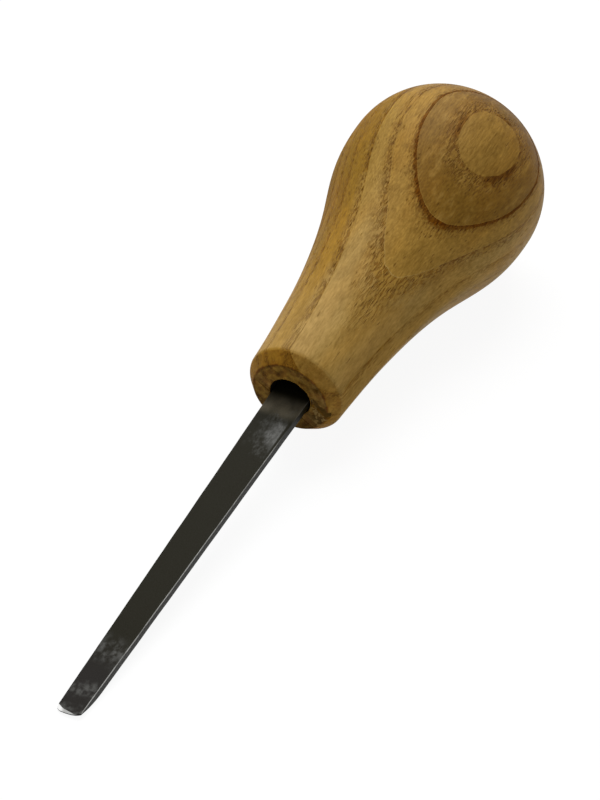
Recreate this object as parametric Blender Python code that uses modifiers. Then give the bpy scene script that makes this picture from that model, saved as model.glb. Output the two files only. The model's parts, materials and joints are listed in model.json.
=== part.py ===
"""Palm carving chisel: a turned pear-shaped handle, a flat steel blade with its tang, and the tang's bedding.

The tool frame has its origin at the centre of the handle's nose face, +Z along the handle to its butt, +X
out of the blade's top face and Y across the blade. An empty lays the tool down the way it lies on a table:
the belly of the handle and the bevel of the blade both touch the plane Z = 0, and the cutting edge points
to +X.
"""

import math

import bmesh
import bpy
from mathutils import Matrix, Vector
from mathutils.geometry import interpolate_bezier

# Fit between touching pieces, in metres like every size here
CLEARANCE = 0.0003

# Handle, measured from its nose face
BELLY_RADIUS = 0.0200
BELLY_FROM_NOSE = 0.0635
BUTT_LENGTH = 0.0191
NECK_RADIUS = 0.00935
NECK_SLOPE = 0.053
NOSE_ROUND_LENGTH = 0.0023
NOSE_ROUND_BULGE = 0.0001
NOSE_FACE_RADIUS = 0.0074

# Fullness of the flare between neck and belly: how far each end's tangent pulls, as a share of the flare
NECK_PULL = 0.72
BELLY_PULL = 0.285

# Bore, drilled down the handle's axis
BORE_DEPTH = 0.0360
DRILL_POINT_ANGLE = math.radians(118)

# Blade, whose top face starts on the handle's axis and leans down a little towards the edge
BLADE_REACH = 0.0763
BLADE_WIDTH = 0.0068
EDGE_WIDTH = 0.0043
BLADE_THICKNESS = 0.0015
BLADE_LEAN = 0.010
LEAN_START = 0.0010
BEVEL_LENGTH = 0.0065
BEVEL_BULGE = 0.00025
HONED_LENGTH = 0.0006
HONED_DROP = 0.0004

# Tang, behind the shoulders where the blade's full width ends
SHOULDER_DEPTH = 0.0140
TANG_ROOT_WIDTH = 0.0050
TANG_END_WIDTH = 0.0030
TANG_END_COVER = 0.0040

# Mesh fineness
TURN_STEPS = 48
BUTT_STEPS = 12
FLARE_POINTS = 20
NOSE_STEPS = 4
BEVEL_STEPS = 8
SHARP_ANGLE = math.radians(30)
MERGE_DISTANCE = 0.00001
LEAN_HALVINGS = 60

# Finish of each piece: base colour, roughness and metallic value
OILED_WOOD = ((0.37, 0.22, 0.08), 0.45, 0.0)
BLACK_STEEL = ((0.035, 0.034, 0.032), 0.4, 0.9)
CURED_RESIN = ((0.23, 0.15, 0.07), 0.35, 0.0)

# Values that follow from the sizes above
BORE_RADIUS = math.hypot(BLADE_WIDTH / 2, BLADE_THICKNESS) + CLEARANCE
TANG_DEPTH = BORE_DEPTH - TANG_END_COVER
CUT_MARGIN = BLADE_THICKNESS

# How a flat outline's own axes lie in the tool frame: its X, its Y and the way it is thickened
SIDE_PLANE = Matrix(((0, 1, 0), (0, 0, 1), (1, 0, 0)))
PLAN_PLANE = Matrix(((0, 0, 1), (1, 0, 0), (0, 1, 0)))


def clear_scene():
    """Remove every object from the scene."""
    for old in list(bpy.data.objects):
        bpy.data.objects.remove(old, do_unlink=True)


def new_collection(name):
    """Return a new collection linked to the scene."""
    collection = bpy.data.collections.new(name)
    bpy.context.scene.collection.children.link(collection)
    return collection


def new_material(name, finish):
    """Return a Principled BSDF material with a finish of base colour, roughness and metallic value."""
    colour, roughness, metallic = finish
    material = bpy.data.materials.new(name)
    material.use_nodes = True
    shader = material.node_tree.nodes["Principled BSDF"]
    shader.inputs["Base Color"].default_value = (*colour, 1.0)
    shader.inputs["Roughness"].default_value = roughness
    shader.inputs["Metallic"].default_value = metallic
    return material


def evaluated_mesh(source):
    """Return a new mesh of an object as its modifiers or its curve settings make it."""
    depsgraph = bpy.context.evaluated_depsgraph_get()
    return bpy.data.meshes.new_from_object(source.evaluated_get(depsgraph))


def arc_points(start, end, bulge, steps):
    """Return the points after start, up to end, on the arc that rises by bulge left of their chord."""
    chord = end - start
    half = chord.length / 2
    radius = (half * half + bulge * bulge) / (2 * bulge)
    along = chord.normalized()
    left = Vector((-along.y, along.x))
    centre = (start + end) / 2 + left * (bulge - radius)
    half_angle = math.asin(half / radius)
    points = []
    for step in range(1, steps + 1):
        angle = half_angle * (1 - 2 * step / steps)
        points.append(centre + radius * (math.cos(angle) * left - math.sin(angle) * along))
    return points


def drill_point(radius):
    """Return the length of the cone that a drill of this radius leaves at the end of its bore."""
    return radius / math.tan(DRILL_POINT_ANGLE / 2)


def handle_profile():
    """Return the handle's outline as (radius, height), from the butt down its outside and into the bore."""
    profile = []
    for step in range(BUTT_STEPS):
        angle = math.pi / 2 * step / BUTT_STEPS
        height = BELLY_FROM_NOSE + BUTT_LENGTH * math.cos(angle)
        profile.append(Vector((BELLY_RADIUS * math.sin(angle), height)))
    belly = Vector((BELLY_RADIUS, BELLY_FROM_NOSE))
    neck = Vector((NECK_RADIUS, NOSE_ROUND_LENGTH))
    flare = BELLY_FROM_NOSE - NOSE_ROUND_LENGTH
    belly_pull = belly - Vector((0, BELLY_PULL * flare))
    neck_pull = neck + NECK_PULL * flare * Vector((NECK_SLOPE, 1))
    profile += interpolate_bezier(belly, belly_pull, neck_pull, neck, FLARE_POINTS)
    nose_rim = Vector((NOSE_FACE_RADIUS, 0))
    profile += arc_points(neck, nose_rim, NOSE_ROUND_BULGE, NOSE_STEPS)
    profile.append(Vector((BORE_RADIUS, 0)))
    profile.append(Vector((BORE_RADIUS, BORE_DEPTH)))
    profile.append(Vector((0, BORE_DEPTH + drill_point(BORE_RADIUS))))
    return profile


def bedding_profile():
    """Return the resin plug's outline as (radius, height), from the end of the bore down to its front."""
    radius = BORE_RADIUS - CLEARANCE
    back = BORE_DEPTH - CLEARANCE
    front = SHOULDER_DEPTH + CLEARANCE
    return [
        Vector((0, back + drill_point(radius))),
        Vector((radius, back)),
        Vector((radius, front)),
        Vector((0, front)),
    ]


def blade_top(height):
    """Return how far the blade's top face lies out of the handle's axis at a height in the tool frame."""
    return min(0.0, (height + LEAN_START) * BLADE_LEAN)


def blade_side_outline():
    """Return the blade and tang seen from the side, as (height, out of the top face), anticlockwise."""
    edge = -BLADE_REACH
    honed_back = edge + HONED_LENGTH
    heel = edge + BEVEL_LENGTH
    cutting_edge = Vector((edge, blade_top(honed_back) - HONED_DROP))
    bevel_heel = Vector((heel, blade_top(heel) - BLADE_THICKNESS))
    outline = [
        Vector((TANG_DEPTH, 0)),
        Vector((-LEAN_START, 0)),
        Vector((honed_back, blade_top(honed_back))),
        cutting_edge,
    ]
    outline += arc_points(bevel_heel, cutting_edge, BEVEL_BULGE, BEVEL_STEPS)[-2::-1]
    outline += [
        bevel_heel,
        Vector((-LEAN_START, -BLADE_THICKNESS)),
        Vector((TANG_DEPTH, -BLADE_THICKNESS)),
    ]
    return outline


def tang_half_width(height):
    """Return half the tang's width at a height in the tool frame."""
    share = (height - SHOULDER_DEPTH) / (TANG_DEPTH - SHOULDER_DEPTH)
    return (TANG_ROOT_WIDTH + (TANG_END_WIDTH - TANG_ROOT_WIDTH) * share) / 2


def blade_half_width(height):
    """Return half the exposed blade's width at a height in the tool frame, which is negative there."""
    return (BLADE_WIDTH + (EDGE_WIDTH - BLADE_WIDTH) * -height / BLADE_REACH) / 2


def both_sides(half_outline):
    """Return a closed outline from its right half, given bottom to top as (half width, height)."""
    left_half = [Vector((-point.x, point.y)) for point in reversed(half_outline)]
    return half_outline + left_half


def blade_plan_outline():
    """Return the blade and tang seen from above, a margin longer than the side outline at both ends."""
    front = -BLADE_REACH - CUT_MARGIN
    back = TANG_DEPTH + CUT_MARGIN
    return both_sides([
        Vector((blade_half_width(front), front)),
        Vector((BLADE_WIDTH / 2, 0)),
        Vector((BLADE_WIDTH / 2, SHOULDER_DEPTH)),
        Vector((TANG_ROOT_WIDTH / 2, SHOULDER_DEPTH)),
        Vector((tang_half_width(back), back)),
    ])


def tang_slot_outline():
    """Return the slot that the tang leaves in the resin, seen from above, with its clearance."""
    front = SHOULDER_DEPTH - CUT_MARGIN
    back = TANG_DEPTH + CLEARANCE
    return both_sides([
        Vector((tang_half_width(front) + CLEARANCE, front)),
        Vector((tang_half_width(back) + CLEARANCE, back)),
    ])


def turned_object(name, profile, collection):
    """Return a solid turned from a profile of (radius, height) points about the tool's axis."""
    mesh = bpy.data.meshes.new(name)
    points = bmesh.new()
    row = [points.verts.new((point.x, 0, point.y)) for point in profile]
    for first, second in zip(row, row[1:]):
        points.edges.new((first, second))
    points.to_mesh(mesh)
    points.free()
    turned = bpy.data.objects.new(name, mesh)
    collection.objects.link(turned)
    screw = turned.modifiers.new("turn", "SCREW")
    screw.steps = TURN_STEPS
    screw.render_steps = TURN_STEPS
    screw.use_merge_vertices = True
    screw.merge_threshold = MERGE_DISTANCE
    solid = evaluated_mesh(turned)
    solid.shade_smooth()
    solid.set_sharp_from_angle(angle=SHARP_ANGLE)
    turned.modifiers.clear()
    turned.data = solid
    bpy.data.meshes.remove(mesh)
    solid.name = name
    return turned


def flat_object(name, outline, half_depth, plane, middle, collection):
    """Return a solid of a flat outline, thickened by half_depth to both sides of its plane."""
    curve = bpy.data.curves.new(name, "CURVE")
    curve.dimensions = "2D"
    curve.fill_mode = "BOTH"
    curve.extrude = half_depth
    spline = curve.splines.new("POLY")
    spline.points.add(len(outline) - 1)
    for spline_point, point in zip(spline.points, outline):
        spline_point.co = (point.x, point.y, 0, 1)
    spline.use_cyclic_u = True
    drawn = bpy.data.objects.new(name, curve)
    collection.objects.link(drawn)
    mesh = evaluated_mesh(drawn)
    bpy.data.objects.remove(drawn)
    bpy.data.curves.remove(curve)
    welded = bmesh.new()
    welded.from_mesh(mesh)
    bmesh.ops.remove_doubles(welded, verts=welded.verts, dist=MERGE_DISTANCE)
    bmesh.ops.recalc_face_normals(welded, faces=welded.faces)
    welded.to_mesh(mesh)
    welded.free()
    mesh.name = name
    solid = bpy.data.objects.new(name, mesh)
    collection.objects.link(solid)
    solid.rotation_euler = plane.to_euler()
    solid.location = middle
    return solid


def cut(target, cutter, operation):
    """Add a Boolean to a piece, with a cutter that is not part of the object."""
    cutter.hide_render = True
    cutter.display_type = "WIRE"
    boolean = target.modifiers.new(cutter.name, "BOOLEAN")
    boolean.operation = operation
    boolean.solver = "EXACT"
    boolean.object = cutter


def make_handle(parts):
    """Return the turned handle with its bore, with a flat of its belly, not a corner, turned underneath."""
    handle = turned_object("handle", handle_profile(), parts)
    handle.rotation_euler.z = math.pi / TURN_STEPS
    handle.data.materials.append(new_material("oiled_wood", OILED_WOOD))
    return handle


def make_blade(parts, cutters):
    """Return the blade and tang: the side outline, kept where the plan outline also has material."""
    half_width = BLADE_WIDTH / 2 + CUT_MARGIN
    blade = flat_object("blade", blade_side_outline(), half_width, SIDE_PLANE, (0, 0, 0), parts)
    half_depth = BLADE_THICKNESS + BLADE_LEAN * BLADE_REACH + CUT_MARGIN
    plan = flat_object("blade_plan", blade_plan_outline(), half_depth, PLAN_PLANE, (0, 0, 0), cutters)
    cut(blade, plan, "INTERSECT")
    blade.data.materials.append(new_material("black_steel", BLACK_STEEL))
    return blade, plan


def make_bedding(parts, cutters):
    """Return the resin plug in the bore, with the slot that the tang leaves in it."""
    bedding = turned_object("tang_bedding", bedding_profile(), parts)
    half_depth = BLADE_THICKNESS / 2 + CLEARANCE
    middle = (-BLADE_THICKNESS / 2, 0, 0)
    slot = flat_object("tang_slot", tang_slot_outline(), half_depth, PLAN_PLANE, middle, cutters)
    cut(bedding, slot, "DIFFERENCE")
    bedding.data.materials.append(new_material("cured_resin", CURED_RESIN))
    return bedding, slot


def lowest(points, lean):
    """Return the lowest height of tool-frame points (out of top, height) when the butt is raised by lean."""
    return min(out * math.cos(lean) + height * math.sin(lean) for out, height in points)


def lying_lean(handle_points, blade_points):
    """Return the angle by which the handle's axis rises to the butt when belly and bevel share one plane."""
    low = 0.0
    high = math.pi / 4
    for _ in range(LEAN_HALVINGS):
        lean = (low + high) / 2
        if lowest(handle_points, lean) < lowest(blade_points, lean):
            low = lean
        else:
            high = lean
    return lean


def lay_down():
    """Return the empty that lays the tool on Z = 0 with its box centred over the origin."""
    flat_share = math.cos(math.pi / TURN_STEPS)
    handle_points = [(-point.x * flat_share, point.y) for point in handle_profile()]
    blade_points = [(point.y, point.x) for point in blade_side_outline()]
    lean = lying_lean(handle_points, blade_points)
    points = handle_points + blade_points
    forward = [out * math.sin(lean) - height * math.cos(lean) for out, height in points]
    tool_axis = bpy.data.objects.new("tool_axis", None)
    bpy.context.scene.collection.objects.link(tool_axis)
    tool_axis.rotation_euler.y = lean - math.pi / 2
    tool_axis.location = (-(min(forward) + max(forward)) / 2, 0, -lowest(points, lean))
    return tool_axis


def main():
    """Build the chisel and lay it down."""
    clear_scene()
    parts = new_collection("carving_chisel")
    cutters = new_collection("cutters")
    pieces = [make_handle(parts)]
    pieces += make_blade(parts, cutters)
    pieces += make_bedding(parts, cutters)
    tool_axis = lay_down()
    for piece in pieces:
        piece.parent = tool_axis


main()
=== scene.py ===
"""Looks of a palm carving chisel: an oiled handle, a black forged blade and the resin round its tang.

Pieces are modelled in metres in the tool frame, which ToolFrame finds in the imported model: its origin is
the centre of the handle's nose face, +Z runs to the butt, +X comes out of the blade's top face and Y goes
across the blade. Finishes are procedural and work in millimetres of that frame, so the grain runs through
the handle as it does through a block of wood.
"""

from __future__ import annotations

import json
import logging
import math
from collections.abc import Callable, Iterable, Mapping, Sequence
from dataclasses import dataclass
from enum import Enum
from typing import Any, Union

import bmesh
import bpy
from mathutils import Matrix, Vector, noise
from mathutils.geometry import interpolate_bezier

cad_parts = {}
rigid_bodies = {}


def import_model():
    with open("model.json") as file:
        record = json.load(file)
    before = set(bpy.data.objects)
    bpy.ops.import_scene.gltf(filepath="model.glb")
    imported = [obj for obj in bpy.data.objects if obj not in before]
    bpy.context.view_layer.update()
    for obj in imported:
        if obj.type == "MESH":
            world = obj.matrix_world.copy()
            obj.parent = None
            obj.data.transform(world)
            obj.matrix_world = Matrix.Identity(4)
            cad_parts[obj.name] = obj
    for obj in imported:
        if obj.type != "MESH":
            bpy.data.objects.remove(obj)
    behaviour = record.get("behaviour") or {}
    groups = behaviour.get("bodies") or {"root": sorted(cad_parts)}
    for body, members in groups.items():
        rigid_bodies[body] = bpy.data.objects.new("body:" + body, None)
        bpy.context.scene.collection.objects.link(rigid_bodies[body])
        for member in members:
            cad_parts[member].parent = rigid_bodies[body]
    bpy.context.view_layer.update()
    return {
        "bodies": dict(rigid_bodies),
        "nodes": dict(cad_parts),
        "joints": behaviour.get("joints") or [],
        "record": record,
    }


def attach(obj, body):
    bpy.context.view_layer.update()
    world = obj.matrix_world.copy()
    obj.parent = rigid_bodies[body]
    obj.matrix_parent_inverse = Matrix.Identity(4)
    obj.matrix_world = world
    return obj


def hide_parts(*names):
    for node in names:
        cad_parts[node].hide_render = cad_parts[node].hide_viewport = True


LOG = logging.getLogger("carving_chisel")
MM_PER_METRE = 1000.0
SHARP_ANGLE = math.radians(32)
WHITE = (1.0, 1.0, 1.0)

Colour = tuple[float, float, float]
Triple = tuple[float, float, float]
Pair = tuple[float, float]
# A span is the measure where a mark begins and the one where it is whole: millimetres of the tool frame,
# the cosine between the surface's normal and an axis for a facing, or another mark's strength.
Span = Pair
Material = bpy.types.Material
Object = bpy.types.Object


class Piece(Enum):
    """The pieces of the tool, by the node that each one stands for."""

    HANDLE = "handle"
    BLADE = "blade"
    TANG_BEDDING = "tang_bedding"


class Slot(Enum):
    """The record's material slots."""

    OILED_WOOD = "oiled_wood"
    BLACK_STEEL = "black_steel"
    CURED_RESIN = "cured_resin"


class Mark(Enum):
    """Mesh attributes that tell a finish where it changes."""

    ARRIS = "arris"
    CHIP = "chip"
    HONED = "honed"


class Axis(Enum):
    """Axes of the tool frame, by their column in its matrix."""

    ACROSS = 1
    ALONG = 2


class Blend(Enum):
    """Ways to join a layer of colour with what lies below."""

    MIX = "MIX"
    MULTIPLY = "MULTIPLY"


class End(Enum):
    """How a skin of rings is closed at an end."""

    POLE = "pole"
    FLAT = "flat"


class Ripple(Enum):
    """Noises of the finishes: waves per millimetre across and along the tool, and octaves.

    A noise that is drawn as spots also has its values where they begin and where they are whole.
    """

    DRIFT = (0.055, 0.018, 2.0)
    FRAY = (0.9, 0.12, 2.0)
    FRINGE = (2.6, 0.45, 2.0)
    PATCHES = (0.20, 0.16, 2.0, 0.58, 0.44)
    WARMTH = (0.16, 0.05, 2.0, 0.42, 0.62)
    STROKES = (3.6, 0.40, 1.0, 0.50, 0.57)
    STREAKS = (3.2, 0.45, 5.0)
    MOTTLE = (0.60, 0.20, 5.0)
    SPECKLE = (2.8, 0.9, 4.0)
    FLECKS = (1.8, 0.9, 3.0, 0.50, 0.62)
    HEARTWOOD = (1.5, 0.16, 3.0)
    TORN = (0.65, 0.45, 5.0)
    BLOTCHES = (0.55, 0.40, 4.0, 0.46, 0.60)
    SPLINTERS = (1.3, 0.6, 3.0, 0.52, 0.58)
    GRIT = (6.0, 3.0, 4.0)
    RUBBING = (0.5, 0.25, 3.0)
    WAVER = (0.42, 0.36, 2.0)
    WISPS = (1.1, 0.9, 6.0, 0.36, 0.66)
    WANDER = (0.6, 0.5, 4.0)
    SCRATCHES = (2.4, 1.2, 5.0, 0.30, 0.68)
    CLOUDS = (0.6, 0.6, 4.0)


def math_node(operation: str, swapped: bool = False) -> Callable[..., Sock]:
    """Write an operator of Sock.

    Args:
        operation: what its Math node does.
        swapped: whether the socket comes last, as in a reflected operator.

    Returns:
        The method, which adds the Math node and gives its result.
    """

    def method(self: Sock, *others: Value) -> Sock:
        """Return the Math node's result."""
        values = (*others, self) if swapped else (self, *others)
        return self.graph.node("Math", {"operation": operation}, dict(enumerate(values)))

    return method


class Sock:
    """An output socket of a node, usable in arithmetic: each operator adds one Math node."""

    def __init__(self, graph: NodeGraph, socket: bpy.types.NodeSocket) -> None:
        """Keep the socket and the graph that its Math nodes go to."""
        self.graph = graph
        self.socket = socket

    __add__ = math_node("ADD")
    __radd__ = math_node("ADD", swapped=True)
    __sub__ = math_node("SUBTRACT")
    __rsub__ = math_node("SUBTRACT", swapped=True)
    __mul__ = math_node("MULTIPLY")
    __rmul__ = math_node("MULTIPLY", swapped=True)
    __truediv__ = math_node("DIVIDE")
    __rtruediv__ = math_node("DIVIDE", swapped=True)
    __lt__ = math_node("LESS_THAN")
    __abs__ = math_node("ABSOLUTE")
    fraction = math_node("FRACT")
    at_least = math_node("MAXIMUM")

    def out(self, name: str) -> Sock:
        """Return another output of the same node."""
        return Sock(self.graph, self.socket.node.outputs[name])


Value = Union[Sock, float]
Input = Union[Sock, float, Sequence[float]]


class NodeGraph:
    """The node tree of a material or a world."""

    def __init__(self, owner: Material | bpy.types.World) -> None:
        """Empty the owner's tree.

        Args:
            owner: the new material or world.
        """
        owner.use_nodes = True
        self.owner = owner
        self.tree = owner.node_tree
        self.tree.nodes.clear()

    def node(
        self,
        kind: str,
        settings: Mapping[str, Any] | None = None,
        inputs: Mapping[int | str, Input] | None = None,
    ) -> Sock:
        """Add a node.

        Args:
            kind: the node's type, without the word ShaderNode.
            settings: its properties, set first.
            inputs: values or links by the input's index or name. A colour has no alpha.

        Returns:
            The node's first output that is in use.
        """
        made = self.tree.nodes.new(f"ShaderNode{kind}")
        for key, value in (settings or {}).items():
            setattr(made, key, value)
        for key, value in (inputs or {}).items():
            socket = made.inputs[key]
            if isinstance(value, Sock):
                self.tree.links.new(value.socket, socket)
            else:
                socket.default_value = (*value, 1.0) if socket.type == "RGBA" else value
        return Sock(self, next(output for output in made.outputs if output.enabled))

    def vector(self, operation: str, *values: Input) -> Sock:
        """Return the result of a Vector Math node."""
        made = self.node("VectorMath", {"operation": operation}, dict(enumerate(values)))
        return made.out("Value") if operation in ("DOT_PRODUCT", "LENGTH") else made

    def axes(self, vector: Sock) -> tuple[Sock, Sock, Sock]:
        """Return a vector's X, Y and Z."""
        split = self.node("SeparateXYZ", {}, {0: vector})
        return split, split.out("Y"), split.out("Z")

    def ease(self, value: Sock, start: float, end: float) -> Sock:
        """Return 0 where a value is at start, 1 at end and a smooth step between them."""
        settings = {"interpolation_type": "SMOOTHSTEP"}
        return self.node("MapRange", settings, {0: value, 1: start, 2: end})

    def ramp(self, value: Sock, stops: Sequence[tuple[float, Colour]], stepped: bool) -> Sock:
        """Look a number up on a colour ramp.

        Args:
            value: the number, from 0 to 1.
            stops: the ramp's positions and colours, in rising order.
            stepped: whether the colour stays the same from a stop to the next.

        Returns:
            The colour.
        """
        made = self.node("ValToRGB", {}, {0: value})
        ramp = made.socket.node.color_ramp
        ramp.interpolation = "CONSTANT" if stepped else "LINEAR"
        while len(ramp.elements) < len(stops):
            ramp.elements.new(1.0)
        for element, (position, colour) in zip(ramp.elements, stops):
            element.position = position
            element.color = (*colour, 1.0)
        return made

    def camera_sees(self) -> Sock:
        """Return 1 for what the camera sees, straight or through gloss or glass, and 0 for other light."""
        path = self.node("LightPath").out("Is Camera Ray")
        return path.at_least(path.out("Is Glossy Ray")).at_least(path.out("Is Transmission Ray"))

    def surface(self, shader: Sock) -> None:
        """Show a shader on the owner."""
        made = self.tree.nodes.new(f"ShaderNodeOutput{self.owner.id_type.title()}")
        self.tree.links.new(shader.socket, made.inputs["Surface"])


class Surface(NodeGraph):
    """The node tree of a material that is laid out in millimetres of the tool frame."""

    def __init__(self, name: str, frame: ToolFrame) -> None:
        """Make a new material and find the shaded point.

        Args:
            name: the material's name.
            frame: where the tool lies.
        """
        super().__init__(bpy.data.materials.new(name))
        self.frame = frame
        inputs = {
            "Vector": self.node("TexCoord").out("Object"),
            "Location": frame.matrix.to_translation(),
            "Rotation": frame.matrix.to_euler(),
            "Scale": (1.0 / MM_PER_METRE,) * 3,
        }
        self.point = self.node("Mapping", {"vector_type": "TEXTURE"}, inputs)
        self.up, self.across, self.along = self.axes(self.point)

    def noise(self, ripple: Ripple) -> Sock:
        """Return a noise of about 0 to 1, which averages one half.

        Args:
            ripple: which noise.

        Returns:
            The noise at the shaded point.
        """
        across, along, detail, *_ = ripple.value
        where = self.vector("MULTIPLY", self.point, (across, across, along))
        return self.node("TexNoise", {}, {"Vector": where, "Scale": 1.0, "Detail": detail})

    def spots(self, ripple: Ripple) -> Sock:
        """Return 1 in the spots of a noise and 0 between them."""
        return self.ease(self.noise(ripple), *ripple.value[3:])

    def facing(self, axis: Axis) -> Sock:
        """Return the cosine between the surface's normal and an axis of the tool frame."""
        normal = self.node("TexCoord").out("Normal")
        return self.vector("DOT_PRODUCT", normal, self.frame.matrix.col[axis.value].xyz)

    def mark(self, name: Mark) -> Sock:
        """Return a mesh attribute's value."""
        return self.node("Attribute", {"attribute_name": name.value}).out("Fac")

    def bump(self, height: Sock, distance: float) -> Sock:
        """Return a normal bent by a height of 0 to 1 that stands for a distance in metres."""
        return self.node("Bump", {}, {"Distance": distance, "Height": height})

    def finished(self, inputs: Mapping[str, Input]) -> Material:
        """Return the material, with a Principled BSDF of these inputs."""
        self.surface(self.node("BsdfPrincipled", {}, inputs))
        return self.owner


class Coat:
    """A colour that is built up in layers."""

    def __init__(self, graph: NodeGraph, colour: Input) -> None:
        """Begin with a first colour."""
        self.graph = graph
        self.colour = colour

    def cover(self, factor: Value, colour: Input, way: Blend = Blend.MIX) -> Coat:
        """Lay a colour over the coat.

        Args:
            factor: how much of it shows, from 0 to 1.
            colour: the colour.
            way: how it is joined with what lies below.

        Returns:
            This coat.
        """
        settings = {"data_type": "RGBA", "blend_type": way.value}
        inputs = {"Factor": factor, "A": self.colour, "B": colour}
        self.colour = self.graph.node("Mix", settings, inputs)
        return self

    def tint(self, factor: Value, colour: Input) -> Coat:
        """Multiply the coat with a colour by a factor."""
        return self.cover(factor, colour, Blend.MULTIPLY)


class Timber(Enum):
    """Colours that a year's growth can have."""

    GOLDEN = (0.384, 0.214, 0.027)
    TAN = (0.422, 0.237, 0.042)
    PALE = (0.452, 0.276, 0.070)
    FAWN = (0.336, 0.185, 0.033)
    UMBER = (0.272, 0.140, 0.018)


@dataclass(frozen=True)
class GrowthRing:
    """One year's growth: the depth where it ends, its colour and how boldly its last line shows."""

    end: float
    timber: Timber
    boldness: float


@dataclass(frozen=True)
class OiledWood:
    """Ring-porous hardwood under oil: nearly flat growth rings, each a sharp line with pores behind it."""

    name: str = "oiled_wood"
    ring_normal: Triple = (0.812, 0.584, -0.033)
    rings: tuple[GrowthRing, ...] = (
        GrowthRing(-20.4, Timber.GOLDEN, 0.30),
        GrowthRing(-19.3, Timber.TAN, 0.35),
        GrowthRing(-17.8, Timber.TAN, 0.30),
        GrowthRing(-14.6, Timber.GOLDEN, 0.40),
        GrowthRing(-11.4, Timber.PALE, 0.35),
        GrowthRing(-8.3, Timber.GOLDEN, 0.45),
        GrowthRing(-5.2, Timber.TAN, 0.30),
        GrowthRing(-2.2, Timber.GOLDEN, 0.40),
        GrowthRing(0.6, Timber.TAN, 0.25),
        GrowthRing(3.1, Timber.GOLDEN, 0.25),
        GrowthRing(7.1, Timber.GOLDEN, 0.22),
        GrowthRing(10.92, Timber.PALE, 0.30),
        GrowthRing(13.8, Timber.TAN, 1.00),
        GrowthRing(16.97, Timber.UMBER, 0.62),
        GrowthRing(21.0, Timber.FAWN, 0.0),
    )
    drift: float = 0.5
    fray: float = 0.14
    fringe: float = 0.22
    line_width: Pair = (0.06, 0.10)
    line_fade: Span = (1.0, 0.45)
    merging_behind: Span = (0.55, 0.0)
    porous_behind: Span = (0.50, 0.04)
    crowd_behind: Span = (0.46, 0.08)
    pore_pitch: Triple = (3.0, 3.0, 0.36)
    pore_size: Span = (0.44, 0.22)
    pore_rate: float = 0.55
    stray_pore_rate: float = 0.05
    early_tint: Colour = (0.80, 0.73, 0.60)
    line_tint: Colour = (0.49, 0.295, 0.018)
    pore_tint: Colour = (0.50, 0.41, 0.22)
    stroke_tint: Colour = (0.58, 0.47, 0.22)
    warm_tint: Colour = (1.05, 0.98, 0.82)
    umber_mottle: Span = (0.52, 0.66)
    plain_across: Span = (2.0, 9.0)
    plain_depth: Span = (8.0, 5.6)
    coarse_along: Span = (16.0, 34.0)
    palm_tint: Colour = (0.90, 0.86, 0.66)
    palm_along: Span = (22.0, 40.0)
    palm_across: Span = (2.0, -6.0)
    grime_tint: Colour = (0.80, 0.78, 0.55)
    grime_left: Span = (-4.0, -17.0)
    grime_right: Span = (8.0, 18.0)
    # colour of the real wear on the neck and of the painted sheen on the crown
    wear_and_sheen_colour: Colour = (0.60, 0.42, 0.16)
    fingers_along: Span = (26.0, 8.0)
    fingers_nose: Span = (2.0, 3.0)
    fingers_across: Span = (6.0, 1.5)
    # painted sheen: out along +X, where the bulb's crown lies, it is lightened as the lamp's highlight
    # would
    painted_sheen_up: Span = (18.0, 19.8)
    butt_tint: Colour = (0.62, 0.61, 0.58)
    butt_facing: Span = (0.05, 0.55)
    flank_facing: Span = (0.90, 0.99)
    flank_along: Span = (55.0, 40.0)
    end_tint: Colour = (0.87, 0.72, 0.31)
    end_facing: Span = (0.42, 0.85)
    sawn_along: Span = (12.0, 4.0)
    flat_tint: Colour = (0.85, 1.01, 2.75)
    flat_facing: Span = (0.88, 0.97)
    # painted shade: the nose face darkens below the blade, where the blade shades it
    under_blade_shade_tint: Colour = (0.66, 0.70, 0.85)
    under_blade_shade_up: Span = (-0.5, -4.0)
    blotch_tint: Colour = (0.74, 0.64, 0.54)
    # painted shade: a thin dark ring where the nose face meets its chamfer
    rim_shade_tint: Colour = (0.52, 0.38, 0.28)
    rim_radius: float = 7.3
    rim_away: Span = (0.42, 0.10)
    rim_along: Span = (0.5, 0.1)
    rim_torn: Span = (0.42, 0.56)
    chip_torn: Span = (0.02, 0.12)
    chip_groove: Span = (0.30, 0.60)
    torn_tint: Colour = (0.68, 0.68, 0.54)
    fresh: Colour = (0.42, 0.27, 0.09)
    # dark colour of the chip's deep groove beside its wall
    chip_groove_colour: Colour = (0.13, 0.068, 0.010)
    # painted shade: the bore's walls are coloured near black past its mouth
    bore_shade_colour: Colour = (0.006, 0.004, 0.003)
    bore_radius: float = 4.35
    bore_mouth: Span = (0.0, 0.25)
    bore_end: float = 45.0
    gloss: float = 0.08
    roughness: float = 0.43
    bump_depth: float = 0.00012

    def material(self, frame: ToolFrame) -> Material:
        """Return the wood as a material, laid out in the tool frame."""
        return WoodSurface(self, frame).painted()


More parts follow.
